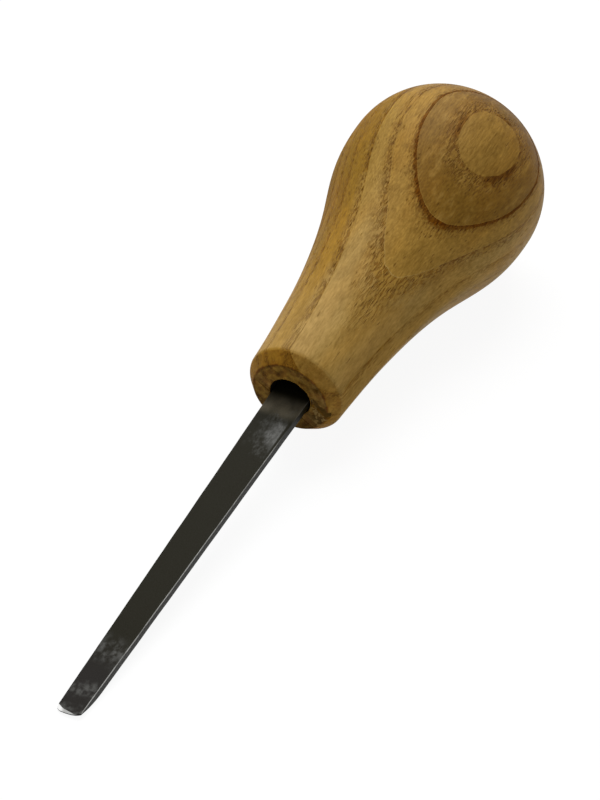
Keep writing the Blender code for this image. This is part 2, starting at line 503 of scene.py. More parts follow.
class WoodSurface(Surface):
    """The shader of oiled wood. Its marks go from 0, where there is none, to 1."""

    def __init__(self, wood: OiledWood, frame: ToolFrame) -> None:
        """Find the marks that more than one layer needs.

        Args:
            wood: the wood's colours and sizes.
            frame: where the tool lies.
        """
        super().__init__(wood.name, frame)
        self.wood = wood
        self.depth = self.vector("DOT_PRODUCT", self.point, wood.ring_normal)
        self.phase = self.ring_phase()
        self.streak = self.noise(Ripple.STREAKS)
        self.mottle = self.noise(Ripple.MOTTLE)
        self.speckle = self.noise(Ripple.SPECKLE)
        self.torn = self.noise(Ripple.TORN)
        self.coarse = 0.6 + 0.3 * self.ease(self.along, *wood.coarse_along)
        self.plain = self.ease(self.across, *wood.plain_across) * self.ease(self.depth, *wood.plain_depth)
        right_grime = self.ease(self.across, *wood.grime_right) * 0.1
        self.grime = self.ease(self.across, *wood.grime_left).at_least(right_grime)
        sawn = self.ease(self.along, *wood.sawn_along)
        squareness = abs(self.facing(Axis.ALONG))
        self.end = self.ease(squareness, *wood.end_facing) * (0.25 + 0.75 * sawn)
        self.flat_end = self.ease(squareness, *wood.flat_facing) * sawn
        self.find_grain()

    def find_grain(self) -> None:
        """Find the ring lines and the pores behind them."""
        bold = self.by_ring((ring.boldness,) * 3 for ring in self.wood.rings)
        behind = 1.0 - (self.phase * len(self.wood.rings)).fraction()
        self.ragged = behind + (self.noise(Ripple.FRINGE) - 0.5) * self.wood.fringe
        self.porous = self.ease(behind, *self.wood.porous_behind)
        missing = (1.1 - bold) * 1.8 * self.spots(Ripple.PATCHES)
        self.shown = (1.0 - missing).at_least(0.0)
        thin, thicker = self.wood.line_width
        line = self.ease(self.ragged / (thin + thicker * bold), *self.wood.line_fade) * bold
        self.line = line * self.shown * (1.0 - self.plain * 0.8) * (1.0 - self.grime * 0.5)
        self.crowd = self.ease(self.ragged, *self.wood.crowd_behind) * (1.0 - self.plain * 0.5)
        self.pore = self.pores()
        self.stroke = self.spots(Ripple.STROKES) * (0.12 + 0.88 * self.crowd)

    def ring_phase(self) -> Sock:
        """Count the growth rings.

        Returns:
            The rings up to the shaded point, as a share of all: the ring lines lie on whole rings.
        """
        rings = self.wood.rings
        drift = (self.noise(Ripple.DRIFT) - 0.5) * self.wood.drift
        fray = (self.noise(Ripple.FRAY) - 0.5) * self.wood.fray
        reach = rings[-1].end
        lines = (-reach, *(ring.end for ring in rings))
        stops = [
            ((line + reach) / (2 * reach), (index / len(rings),) * 3) for index, line in enumerate(lines)
        ]
        return self.ramp((self.depth + drift + fray + reach) / (2 * reach), stops, stepped=False)

    def by_ring(self, colours: Iterable[Colour]) -> Sock:
        """Return the colour that belongs to the ring of the shaded point, from one for each ring."""
        stops = [(index / len(self.wood.rings), colour) for index, colour in enumerate(colours)]
        return self.ramp(self.phase, stops, stepped=True)

    def pores(self) -> Sock:
        """Draw the open vessels, long along the grain and dots on its end.

        Returns:
            1 in a vessel, 0 beside it.
        """
        where = self.vector("MULTIPLY", self.point, self.wood.pore_pitch)
        cell = self.node("TexVoronoi", {}, {"Vector": where, "Scale": 1.0})
        chance, _, _ = self.axes(cell.out("Color"))
        stray = self.wood.stray_pore_rate
        rate = self.crowd * (self.wood.pore_rate - stray) + stray
        return self.ease(cell.out("Distance"), *self.wood.pore_size) * (chance < rate)

    def growth(self) -> Coat:
        """Colour the growth rings.

        Returns:
            The clean wood with its lines and pores.
        """
        wood = self.wood
        tones = [ring.timber.value for ring in wood.rings]
        coat = Coat(self, self.by_ring(tones))
        dusky = self.by_ring((float(ring.timber is Timber.UMBER),) * 3 for ring in wood.rings)
        merging = self.ease(self.ragged, *wood.merging_behind) * (1.0 - self.shown)
        coat.cover(merging, self.by_ring([*tones[1:], tones[-1]]))
        coat.cover(self.plain * 0.85, Timber.PALE.value)
        flecks = self.spots(Ripple.FLECKS) * self.crowd * dusky
        coat.cover(flecks * 0.5, Timber.TAN.value)
        coat.cover(self.ease(self.mottle, *wood.umber_mottle) * dusky * 0.3, Timber.PALE.value)
        coat.tint(self.spots(Ripple.WARMTH) * 0.7, wood.warm_tint)
        coat.tint(self.porous * (0.3 + 0.3 * self.shown) * (1.0 - self.plain * 0.6), wood.early_tint)
        coat.tint(self.line, wood.line_tint)
        coat.tint(self.stroke * (0.82 - self.end * 0.5 - self.grime * 0.6), wood.stroke_tint)
        return coat.tint(self.pore * (0.6 - self.end * 0.35), wood.pore_tint)

    def lay_use(self, coat: Coat) -> None:
        """Lay on what hands and years left, and a painted sheen that lightens the crown.

        Args:
            coat: the clean wood.
        """
        wood = self.wood
        palm = self.ease(self.along, *wood.palm_along) * self.ease(self.across, *wood.palm_across)
        fingers = self.ease(self.along, *wood.fingers_along) * self.ease(self.along, *wood.fingers_nose)
        fingers = fingers * self.ease(self.across, *wood.fingers_across)
        # real wear where fingers hold the neck, and a painted sheen that lightens the crown of the bulb
        wear_and_sheen = (fingers * 0.26).at_least(self.ease(self.up, *wood.painted_sheen_up) * 0.06)
        coat.tint(palm, wood.palm_tint)
        coat.tint(self.grime, wood.grime_tint)
        coat.cover(wear_and_sheen, wood.wear_and_sheen_colour)
        coat.tint(self.ease(self.facing(Axis.ALONG), *wood.butt_facing), wood.butt_tint)

    def shading(self) -> Sock:
        """Vary the wood finely.

        Returns:
            A colour round 1 to multiply the wood with, warmer where it darkens.
        """
        change = (self.streak - 0.5) * self.coarse + (self.mottle - 0.5) * 0.8
        change = change + (self.speckle - 0.5) * self.coarse
        change = change + (self.torn - 0.5) * (self.end * 1.9 + self.flat_end * 1.1)
        last_ring = 1.0 / len(self.wood.rings)
        heart = self.ease(self.phase, 1.0 - 1.1 * last_ring, 1.0 - 0.9 * last_ring)
        change = change + (self.noise(Ripple.HEARTWOOD) - 0.5) * heart * 0.8
        parts = {0: 1.0 + change * 0.9, 1: 1.0 + change, 2: 1.0 + change * 1.4}
        return self.node("CombineColor", {}, parts)

    def lay_ends(self, coat: Coat) -> None:
        """Lay on the dark end grain, the nose face with its chip, painted shade on its rim and below the
        blade, and painted shade in the bore.

        Args:
            coat: the wood as its sides show it.
        """
        wood = self.wood
        radius = self.vector("LENGTH", self.vector("MULTIPLY", self.point, (1.0, 1.0, 0.0)))
        rim = self.ease(abs(radius - wood.rim_radius), *wood.rim_away)
        rim = rim * self.ease(self.along, *wood.rim_along) * self.ease(self.torn, *wood.rim_torn)
        bore = (radius < wood.bore_radius) * (self.along < wood.bore_end)
        chip = self.mark(Mark.CHIP)
        torn_out = self.ease(chip, *wood.chip_torn)
        splinters = self.spots(Ripple.SPLINTERS)
        coat.tint(self.spots(Ripple.BLOTCHES) * self.end, wood.blotch_tint)
        coat.tint(self.end, wood.end_tint)
        coat.tint(self.flat_end, wood.flat_tint)
        # painted shade below the blade on the nose face
        coat.tint(self.flat_end * self.ease(self.up, *wood.under_blade_shade_up), wood.under_blade_shade_tint)
        # painted shade along the rim of the nose face
        coat.tint(rim, wood.rim_shade_tint)
        coat.tint(torn_out, wood.torn_tint)
        coat.cover(torn_out * splinters * 0.75, wood.fresh)
        # the chip's deep groove beside its wall is coloured dark
        coat.cover(self.ease(chip, *wood.chip_groove) * 0.9, wood.chip_groove_colour)
        # painted shade inside the bore
        coat.cover(bore * self.ease(self.along, *wood.bore_mouth), wood.bore_shade_colour)

    def painted(self) -> Material:
        """Lay all layers.

        Returns:
            The finished material.
        """
        coat = self.growth()
        self.lay_use(coat)
        coat.tint(1.0, self.shading())
        self.lay_ends(coat)
        flank = self.ease(self.facing(Axis.ACROSS), *self.wood.flank_facing)
        flank = flank * self.ease(self.along, *self.wood.flank_along)
        dull = self.line * 0.4 + self.streak * 0.12 + self.grime * 0.16 + flank * 0.3
        height = 0.8 - self.pore * 0.5 - self.stroke * 0.6 + self.streak * 0.25
        height = height + self.speckle * self.coarse * 0.5 + self.torn * self.end * 1.5
        inputs = {
            "Base Color": coat.colour,
            "Roughness": self.wood.roughness + (self.pore + self.end) * 0.2 + dull,
            "Specular IOR Level": self.wood.gloss,
            "Normal": self.bump(height, self.wood.bump_depth),
        }
        return self.finished(inputs)


@dataclass(frozen=True)
class Wisp:
    """A band across the blade where the scale is rubbed thin: its height and how far it reaches."""

    height: float
    reach: float


@dataclass(frozen=True)
class BlackSteel:
    """Forged steel under black scale, rubbed bare on its arrises and honed bright at the edge."""

    name: str = "black_steel"
    scale: Colour = (0.0135, 0.0120, 0.0050)
    tempered: Colour = (0.0190, 0.0165, 0.0140)
    tempered_along: Span = (-60.0, -69.0)
    # painted reflection: the top face is lighter and browner near the handle, as if it mirrored the wooden
    # nose
    nose_reflection_colour: Colour = (0.115, 0.100, 0.068)
    nose_reflection_blade: Span = (-6.0, -3.4)
    nose_reflection_mouth: Span = (0.8, -1.6)
    ground: Colour = (0.072, 0.071, 0.066)
    side_facing: Span = (0.75, 0.95)
    side_along: Span = (-2.0, -9.0)
    rubbed: Colour = (0.17, 0.17, 0.16)
    bare: Colour = (0.50, 0.50, 0.48)
    bare_along: Span = (-7.0, -17.0)
    bare_patches: Span = (0.35, 0.55)
    honed: Colour = (0.92, 0.92, 0.91)
    honed_across: Span = (1.9, 0.7)
    # painted reflection: the honed facet is grey right of its left corner, where it reflects something
    # grey
    grey_reflection: Colour = (0.46, 0.46, 0.45)
    grey_reflection_across: Span = (-1.5, -0.6)
    smear_middle: Triple = (0.0, 2.7, -9.2)
    smear_squeeze: Triple = (0.0, 1.0, 0.8)
    smear_reach: Span = (3.6, 1.2)
    scratch_reach: Span = (5.6, 2.6)
    smear_across: Span = (2.95, 2.60)
    wisps: tuple[Wisp, ...] = (Wisp(-63.2, 3.8), Wisp(-72.0, 2.4), Wisp(-76.0, 1.1))
    waver: float = 5.0
    wander: float = 3.0
    gloss: float = 0.04
    roughness: float = 0.34
    bump_depth: float = 0.00003

    def clouds(self, spot: Surface) -> Sock:
        """Find where the scale is rubbed thin: in wisps near the edge and in a smear near the handle.

        Args:
            spot: the steel's surface.

        Returns:
            How thin the scale is, from 0 to 1.
        """
        height = spot.along + (spot.noise(Ripple.WAVER) - 0.5) * self.waver
        bands = [spot.ease(abs(height - wisp.height), wisp.reach, 0.0) for wisp in self.wisps]
        band = bands[0]
        for other in bands[1:]:
            band = band.at_least(other)
        wisps = spot.spots(Ripple.WISPS)
        return (band * wisps * 0.55).at_least(self.smear(spot))

    def smear(self, spot: Surface) -> Sock:
        """Draw the smear beside the right arris near the handle, with fainter scratches to its left.

        Args:
            spot: the steel's surface.

        Returns:
            How thin the scale is there, from 0 to 1.
        """
        offset = spot.vector("SUBTRACT", spot.point, self.smear_middle)
        away = spot.vector("LENGTH", spot.vector("MULTIPLY", offset, self.smear_squeeze))
        wander = (spot.noise(Ripple.WANDER) - 0.5) * self.wander
        scratched = spot.spots(Ripple.SCRATCHES)
        solid = spot.ease(away + wander, *self.smear_reach) * (0.5 + 0.5 * scratched)
        around = spot.ease(away + wander * 3.0, *self.scratch_reach) * scratched * 0.3
        return solid.at_least(around) * spot.ease(spot.across, *self.smear_across)

    def material(self, frame: ToolFrame) -> Material:
        """Lay the steel's layers.

        Args:
            frame: where the tool lies.

        Returns:
            The finished material.
        """
        spot = Surface(self.name, frame)
        grit = spot.noise(Ripple.GRIT)
        patchy = spot.noise(Ripple.RUBBING)
        clouds = self.clouds(spot)
        # painted reflection of the handle's nose on the top face near the handle
        nose_reflection = spot.ease(spot.along, *self.nose_reflection_blade) * spot.ease(spot.along, *self.nose_reflection_mouth)
        side = spot.ease(abs(spot.facing(Axis.ACROSS)), *self.side_facing)
        arris = spot.mark(Mark.ARRIS) * (0.6 + 0.4 * spot.ease(patchy, *self.bare_patches))
        arris = arris * (0.12 + 0.88 * spot.ease(spot.along, *self.bare_along))
        honed = spot.mark(Mark.HONED) * spot.ease(spot.across, *self.honed_across)
        # painted reflection: honed facet white at its left corner, grey further right
        bright = Coat(spot, self.honed).cover(spot.ease(spot.across, *self.grey_reflection_across), self.grey_reflection)
        coat = Coat(spot, self.scale)
        coat.cover(spot.ease(spot.along, *self.tempered_along), self.tempered)
        coat.cover(nose_reflection * patchy * (1.9 - side * 1.9), self.nose_reflection_colour)
        coat.cover(side * spot.ease(spot.along, *self.side_along), self.ground)
        coat.cover(clouds * (0.4 + grit * 1.2), self.rubbed)
        coat.cover(arris, self.bare).cover(honed, bright.colour)
        inputs = {
            "Base Color": coat.colour,
            "Metallic": honed.at_least(arris * 0.6),
            "Roughness": (self.roughness + grit * 0.14 + clouds * 0.12) * (1.0 - honed * 0.55),
            "Specular IOR Level": self.gloss,
            "Normal": spot.bump(grit * (1.0 - honed), self.bump_depth),
        }
        return spot.finished(inputs)


@dataclass(frozen=True)
class CuredResin:
    """Amber resin that set in the bore, with a few bubbles."""

    name: str = "cured_resin"
    amber: Colour = (0.23, 0.15, 0.07)
    dusty: Colour = (0.10, 0.065, 0.035)
    dust: Span = (0.4, 0.7)
    bubbles: float = 1.4
    bubble_size: Span = (0.22, 0.14)
    roughness: float = 0.25
    bump_depth: float = 0.0001

    def material(self, frame: ToolFrame) -> Material:
        """Colour the resin.

        Args:
            frame: where the tool lies.

        Returns:
            The finished material.
        """
        spot = Surface(self.name, frame)
        cloud = spot.noise(Ripple.CLOUDS)
        cell = spot.node("TexVoronoi", {}, {"Vector": spot.point, "Scale": self.bubbles})
        bubble = spot.ease(cell.out("Distance"), *self.bubble_size)
        inputs = {
            "Base Color": Coat(spot, self.amber).cover(spot.ease(cloud, *self.dust), self.dusty).colour,
            "Roughness": self.roughness + cloud * 0.25,
            "Normal": spot.bump(1.0 - bubble, self.bump_depth),
        }
        return spot.finished(inputs)


@dataclass(frozen=True)
class PaleFloor:
    """A plain white floor: what the camera sees of it is lifted to white, and keeps the shadow."""

    name: str = "pale_floor"
    paint: float = 0.65
    seen_paint: float = 0.12
    seen_glow: float = 0.92

    def material(self) -> Material:
        """Colour the floor.

        Returns:
            The finished material.
        """
        graph = NodeGraph(bpy.data.materials.new(self.name))
        matt = graph.node("BsdfDiffuse", {}, {"Color": (self.paint,) * 3})
        thin = graph.node("BsdfDiffuse", {}, {"Color": (self.seen_paint,) * 3})
        glow = graph.node("Emission", {}, {"Strength": self.seen_glow})
        seen = graph.node("AddShader", {}, {0: thin, 1: glow})
        graph.surface(graph.node("MixShader", {}, {0: graph.camera_sees(), 1: matt, 2: seen}))
        return graph.owner


@dataclass(frozen=True)
class ToolFrame:
    """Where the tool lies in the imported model."""

    matrix: Matrix

    @classmethod
    def from_record(cls, record: Mapping[str, Any], ring_middle: float) -> ToolFrame:
        """Find the tool frame from the mount on the nose face.

        Args:
            record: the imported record.
            ring_middle: how far the mount's point lies above the handle's axis.

        Returns:
            The frame whose origin is the centre of the nose face.
        """
        mount = next(m for m in record["mounts"] if m["name"] == "nose_face")
        to_butt = -Vector(mount["axis"]).normalized()
        across = Vector((0.0, 1.0, 0.0))
        top = across.cross(to_butt).normalized()
        on_face = Vector(mount["pos_m"])
        on_face.y = 0.0
        axes = Matrix((top, across, to_butt)).transposed().to_4x4()
        return cls(Matrix.Translation(on_face - top * ring_middle) @ axes)


def clamped(value: float) -> float:
    """Return a value kept within 0 and 1."""
    return min(1.0, max(0.0, value))


def between(start: float, end: float, share: float) -> float:
    """Return the value that lies a share of the way from start to end."""
    return start + (end - start) * share


def turn(steps: int) -> list[float]:
    """Return the angles of a full turn in equal steps."""
    return [2 * math.pi * step / steps for step in range(steps)]


def fillet(before: Vector, corner: Vector, after: Vector, reach: float, steps: int) -> list[Vector]:
    """Round a corner of an outline.

    Args:
        before: a point before the corner.
        corner: the sharp corner.
        after: a point after it.
        reach: how far from the corner the rounding goes.
        steps: how many pieces it has.

    Returns:
        The points of the rounding.
    """
    start = corner + (before - corner).normalized() * reach
    end = corner + (after - corner).normalized() * reach
    shares = [step / steps for step in range(steps + 1)]
    return [start * (1 - t) ** 2 + corner * 2 * t * (1 - t) + end * t * t for t in shares]


def straight(start: Vector, end: Vector, steps: int) -> list[Vector]:
    """Return the points between two ends, without the ends."""
    return [start.lerp(end, step / steps) for step in range(1, steps)]


def skin(name: str, rings: Sequence[Sequence[Vector]], first: End, last: End) -> Object:
    """Make a closed piece from rings of equally many points.

    Args:
        name: the piece's name.
        rings: the rings in order, all going round the same way.
        first: how the first ring is closed.
        last: how the last ring is closed.

    Returns:
        The new object, in the scene, smooth between its crisp edges.
    """
    work = bmesh.new()
    rows = [[work.verts.new(point) for point in ring] for ring in rings]
    for row, following in zip(rows, rows[1:]):
        for index in range(len(row)):
            ahead = (index + 1) % len(row)
            work.faces.new((row[index], row[ahead], following[ahead], following[index]))
    for row, end in ((rows[0], first), (rows[-1], last)):
        if end is End.FLAT:
            work.faces.new(row)
        else:
            pole = work.verts.new(sum((vert.co for vert in row), Vector()) / len(row))
            for index in range(len(row)):
                work.faces.new((row[index], row[(index + 1) % len(row)], pole))
    bmesh.ops.recalc_face_normals(work, faces=work.faces)
    mesh = bpy.data.meshes.new(name)
    work.to_mesh(mesh)
    work.free()
    mesh.shade_smooth()
    mesh.set_sharp_from_angle(angle=SHARP_ANGLE)
    return shown(name, mesh)


def shown(name: str, data: bpy.types.ID) -> Object:
    """Put a mesh, lamp or camera into the scene.

    Args:
        name: the new object's name.
        data: what it shows.

    Returns:
        The new object.
    """
    made = bpy.data.objects.new(name, data)
    bpy.context.scene.collection.objects.link(made)
    return made


def settle(made: Object, frame: ToolFrame, node: Piece) -> None:
    """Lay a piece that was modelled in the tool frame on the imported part.

    Args:
        made: the dressed piece.
        frame: where the tool lies.
        node: the node that it stands for.
    """
    made.data.transform(frame.matrix)
    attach(made, "root")
    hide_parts(node.value)
    LOG.info("%s: %d faces, stands for %s", made.name, len(made.data.polygons), node.value)


Finish = Union[OiledWood, BlackSteel, CuredResin]


class SubAssembly:
    """A piece of the tool, modelled in the tool frame."""

    def build(self) -> Object:
        """Return the piece's mesh, in the scene."""
        raise NotImplementedError

    def dress(self, made: Object, finish: Finish, frame: ToolFrame) -> None:
        """Give the piece its finish."""
        made.data.materials.append(finish.material(frame))


@dataclass(frozen=True)
class Handle(SubAssembly):
    """The turned, pear-shaped handle with its chamfered nose and its bore."""

    belly_radius: float = 0.0200
    belly_from_nose: float = 0.0635
    butt_length: float = 0.0191
    neck_radius: float = 0.00935
    neck_slope: float = 0.053
    chamfer_length: float = 0.0023
    face_radius: float = 0.0074
    neck_pull: float = 0.72
    belly_pull: float = 0.285
    bore_radius: float = 0.004016
    bore_depth: float = 0.0360
    drill_cone: float = 0.0024
    neck_edge: float = 0.0004
    neck_clearance: float = 1.1
    face_edge: float = 0.00018
    lip_edge: float = 0.00015
    turn_steps: int = 192
    dome_steps: int = 40
    flare_points: int = 80
    neck_edge_steps: int = 5
    edge_steps: int = 4
    chamfer_steps: int = 6
    face_steps: int = 20
    bore_steps: int = 30
    unevenness: float = 0.00006
    uneven_waves: float = 90.0
    lip_wear: float = 0.00016
    lip_wear_reach: float = 2.5
    lip_waves: Pair = (2.6, 7.0)
    lip_fine_share: float = 0.6
    chip_across: Triple = (0.73, 0.68, 0.0)
    chip_line: float = 0.00423
    chip_band: float = 0.0015
    chip_wall: float = 0.15
    chip_rise: float = 0.5
    chip_runout: float = 0.3
    chip_side: float = 0.4
    chip_start: float = 0.0041
    chip_height: float = 0.0020
    chip_depth: float = 0.0008
    chip_rag: float = 0.00035
    chip_waves: float = 1100.0
    chip_margin: float = 0.0006

    @property
    def ring_middle(self) -> float:
        """The radius midway across the nose face, between bore and rim."""
        return (self.bore_radius + self.face_radius) / 2

    def outline(self) -> list[Vector]:
        """Draw the turned profile.

        Returns:
            Its points as (radius, height), from the butt down and into the bore.
        """
        points = []
        for step in range(1, self.dome_steps):
            angle = math.pi / 2 * step / self.dome_steps
            height = self.belly_from_nose + self.butt_length * math.cos(angle)
            points.append(Vector((self.belly_radius * math.sin(angle), height)))
        belly = Vector((self.belly_radius, self.belly_from_nose))
        neck = Vector((self.neck_radius, self.chamfer_length))
        flare = self.belly_from_nose - self.chamfer_length
        below_belly = belly - Vector((0, self.belly_pull * flare))
        up_neck = Vector((self.neck_slope, 1))
        above_neck = neck + self.neck_pull * flare * up_neck
        curve = interpolate_bezier(belly, below_belly, above_neck, neck, self.flare_points)
        flare_end = self.chamfer_length + self.neck_edge * self.neck_clearance
        points += [point for point in curve if point.y > flare_end]
        rim = Vector((self.face_radius, 0))
        lip = Vector((self.bore_radius, 0))
        bore_end = Vector((self.bore_radius, self.bore_depth))
        points += fillet(neck + up_neck, neck, rim, self.neck_edge, self.neck_edge_steps)
        points += straight(points[-1], rim, self.chamfer_steps)[:-1]
        points += fillet(neck, rim, lip, self.face_edge, self.edge_steps)
        points += straight(points[-1], lip, self.face_steps)[:-1]
        points += fillet(rim, lip, bore_end, self.lip_edge, self.edge_steps)
        points += straight(points[-1], bore_end, self.bore_steps)
        points += [bore_end, Vector((self.bore_radius / 2, self.bore_depth + self.drill_cone / 2))]
        return points

    def turned(self, radius: float, height: float, angle: float) -> Vector:
        """Turn a point of the profile, with the unevenness of hand sanding, a worn bore lip and the chip.

        Args:
            radius: the point's distance from the axis.
            height: its height over the nose face.
            angle: how far it is turned.

        Returns:
            The point of the surface.
        """
        round_about = Vector((math.cos(angle), math.sin(angle), 0.0))
        place = round_about * radius + Vector((0.0, 0.0, height))
        calm = min(1.0, radius / self.face_radius)
        radius += calm * self.unevenness * noise.noise(place * self.uneven_waves)
        from_lip = math.hypot(radius - self.bore_radius, height)
        near_lip = max(0.0, 1.0 - from_lip / (self.lip_wear_reach * self.lip_wear))
        broad, fine = (noise.noise(round_about * waves) for waves in self.lip_waves)
        torn = max(0.0, broad + self.lip_fine_share * fine)
        radius += near_lip * torn * self.lip_wear
        sunk = self.chip_share(place) * self.chip_depth
        return round_about * radius + Vector((0.0, 0.0, height + sunk + near_lip * torn * self.lip_wear))

    def chip_share(self, place: Vector) -> float:
        """Find how deep a point lies in the chip torn out of the nose face.

        It breaks off along a straight line of the grain, is deepest beside it and runs out from there.

        Args:
            place: a point of the surface.

        Returns:
            The share of the chip's whole depth, from 0 to 1.
        """
        inwards = self.chip_line - place.dot(Vector(self.chip_across))
        inwards += self.chip_rag * noise.noise(place * self.chip_waves)
        step = clamped(inwards / (self.chip_wall * self.chip_band))
        hollow = 1.0 - self.chip_rise * (inwards / self.chip_band) ** 4
        runout = 1.0 - (inwards - self.chip_band) / self.chip_line
        floor = clamped(max(hollow, self.chip_runout * runout))
        beside = clamped((place.y - self.chip_start) / (self.chip_side * self.chip_band))
        shallow = clamped((self.chip_height - place.z) / (self.chip_height - self.chip_depth))
        inside_rim = clamped((self.face_radius + self.chip_margin - place.xy.length) / self.chip_margin)
        return step * floor * beside * shallow * inside_rim

    def build(self) -> Object:
        """Turn the handle and mark its chip.

        Returns:
            The handle's mesh, in the scene.
        """
        angles = turn(self.turn_steps)
        rings = [[self.turned(point.x, point.y, angle) for angle in angles] for point in self.outline()]
        made = skin("handle_turned", rings, End.POLE, End.POLE)
        marks = made.data.attributes.new(Mark.CHIP.value, "FLOAT", "POINT")
        marks.data.foreach_set("value", [self.chip_share(vert.co) for vert in made.data.vertices])
        return made


@dataclass(frozen=True)
class Blade(SubAssembly):
    """The flat blade with its arrises, its bevel, its honed edge and its tang.

    A side is the place across the blade, from -1 on the left arris to 1 on the right one.
    """

    reach: float = 0.0767
    width: float = 0.00725
    edge_width: float = 0.00442
    nose_drift: float = 0.000095
    edge_drift: float = -0.00007
    thickness: float = 0.0015
    lean: float = 0.010
    lean_start: float = 0.0010
    bevel_length: float = 0.0068
    bevel_bulge: float = 0.00030
    honed_length: float = 0.00032
    honed_skew: float = 0.00030
    honed_corner: float = 0.00040
    honed_slope: float = 0.65
    left_corner: float = 0.00045
    right_corner: float = 0.00067
    edge_thickness: float = 0.00020
    shoulder_depth: float = 0.0140
    shoulder_slope: float = 0.0004
    tang_root_width: float = 0.0050
    tang_end_width: float = 0.0030
    tang_depth: float = 0.0320
    arris_radii: tuple[float, ...] = (0.00017, 0.00005, 0.00026, 0.00014)
    arris_limit: float = 0.3
    arris_wear: tuple[float, ...] = (1.0, 0.0, 0.2, 0.3)
    hammered: float = 0.00003
    hammer_waves: Pair = (260.0, 180.0)
    hammer_shift: Triple = (7.0, 3.0, 1.0)
    station_step: float = 0.0006
    face_steps: int = 18
    side_steps: int = 4
    corner_steps: int = 4
    honed_steps: int = 4

    @property
    def heel(self) -> float:
        """The height where the bevel on the underside starts."""
        return self.bevel_length - self.reach

    @property
    def honed_back(self) -> float:
        """The height where the honed facet starts in the middle of the blade."""
        return self.honed_length - self.reach

    def stations(self) -> list[float]:
        """Place the cross sections.

        Returns:
            Their heights, from the tang's end to the cutting edge.
        """
        shoulder = (self.shoulder_depth + self.shoulder_slope, self.shoulder_depth)
        marks = [self.tang_depth, *shoulder, 0.0, self.heel, self.honed_back]
        heights = [marks[0]]
        for start, end in zip(marks, marks[1:]):
            steps = max(1, math.ceil((start - end) / self.station_step))
            heights += [start + (end - start) * step / steps for step in range(1, steps + 1)]
        for step in range(1, self.honed_steps + 1):
            heights.append(self.honed_back - self.honed_length * step / self.honed_steps)
        return heights

    def half_width(self, height: float) -> float:
        """Measure the blade or tang.

        Args:
            height: where along the tool it is measured.

        Returns:
            Half the width there.
        """
        if height > self.shoulder_depth:
            share = (height - self.shoulder_depth) / (self.tang_depth - self.shoulder_depth)
            return between(self.tang_root_width, self.tang_end_width, share) / 2
        return between(self.width, self.edge_width, max(0.0, -height / self.reach)) / 2

    def edge_line(self, side: float) -> float:
        """Return the height of the cutting edge, which is rounded up at its corners."""
        corner = self.right_corner * side**3 if side > 0 else self.left_corner * side**4
        return corner - self.reach

    def face_end(self, side: float) -> float:
        """Return the height where the top face ends, which runs askew to the cutting edge."""
        askew = self.honed_back - self.honed_skew * side + self.honed_corner * max(0.0, -side - 0.5) * 2
        return max(self.edge_line(side) + self.edge_thickness / 2, askew)

    def bevel_share(self, height: float) -> float:
        """Return 0 at the bevel's heel and 1 where the honed facet starts."""
        return clamped((self.heel - height) / (self.heel - self.honed_back))

    def honed_share(self, height: float) -> float:
        """Return 0 where the honed facet starts and 1 at the cutting edge."""
        return clamped((self.honed_back - height) / self.honed_length)

    def honed_drop(self, side: float) -> float:
        """Return how far the cutting edge lies below the top face."""
        return (self.face_end(side) - self.edge_line(side)) * self.honed_slope

    def top(self, height: float, side: float) -> float:
        """Return how far the top face lies out of the handle's axis, down the honed facet at the edge."""
        flat = min(0.0, (max(height, self.honed_back) + self.lean_start) * self.lean)
        return flat - self.honed_share(height) * self.honed_drop(side)

    def bottom(self, height: float, side: float) -> float:
        """Find how far the underside lies out of the handle's axis, up the convex bevel at the edge.

        Args:
            height: the place along the tool.
            side: the place across the blade.

        Returns:
            The distance along +X.
        """
        flat = min(0.0, (max(height, self.heel) + self.lean_start) * self.lean) - self.thickness
        edge = self.top(-self.reach, side) - self.edge_thickness
        share = self.bevel_share(height)
        return between(flat, edge, share) - 4 * self.bevel_bulge * share * (1 - share)

    def section(self, height: float) -> list[tuple[Vector, float]]:
        """Draw the cross section at a height.

        Args:
            height: where along the tool it is drawn.

        Returns:
            The points round the section, each with its arris mark of 0 to 1.
        """
        half, top, bottom = self.half_width(height), self.top(height, 0.0), self.bottom(height, 0.0)
        radii = [min(radius, self.arris_limit * (top - bottom)) for radius in self.arris_radii]
        corners = [Vector(place) for place in ((top, half), (top, -half), (bottom, -half), (bottom, half))]
        points = []
        for index, corner in enumerate(corners):
            before, after = corners[index - 1], corners[(index + 1) % 4]
            rounding = fillet(before, corner, after, radii[index], self.corner_steps)
            for step, point in enumerate(rounding):
                from_middle = abs(2 * step / self.corner_steps - 1)
                points.append((point, self.arris_wear[index] * (1.0 - from_middle)))
            steps = self.face_steps if index % 2 == 0 else self.side_steps
            side_end = after + (corner - after).normalized() * radii[(index + 1) % 4]
            points += [(point, 0.0) for point in straight(rounding[-1], side_end, steps)]
        return points

    def laid(self, point: Vector, height: float) -> Vector:
        """Lay a section's point in the tool frame, with the skewed edge and the uneven forging.

        Args:
            point: the point in its section.
            height: where along the tool the section is.

        Returns:
            The point of the surface.
        """
        side = point.y / self.half_width(height)
        level = (point.x - self.bottom(height, 0.0)) / (self.top(height, 0.0) - self.bottom(height, 0.0))
        top, bottom = self.top(height, side), self.bottom(height, side)
        near_edge, honed = self.bevel_share(height), self.honed_share(height)
        if honed > 0.0:
            along = between(self.face_end(side), self.edge_line(side), honed)
        else:
            along = height + near_edge**2 * (self.face_end(side) - self.honed_back)
        drift = between(self.nose_drift, self.edge_drift, clamped(-height / self.reach))
        place = Vector((between(bottom, top, level), point.y - drift, along))
        uneven = self.hammered * (1.0 - near_edge)
        face_waves, side_waves = self.hammer_waves
        place.x += uneven * noise.noise(place * face_waves)
        place.y += uneven * noise.noise(place * side_waves + Vector(self.hammer_shift))
        return place

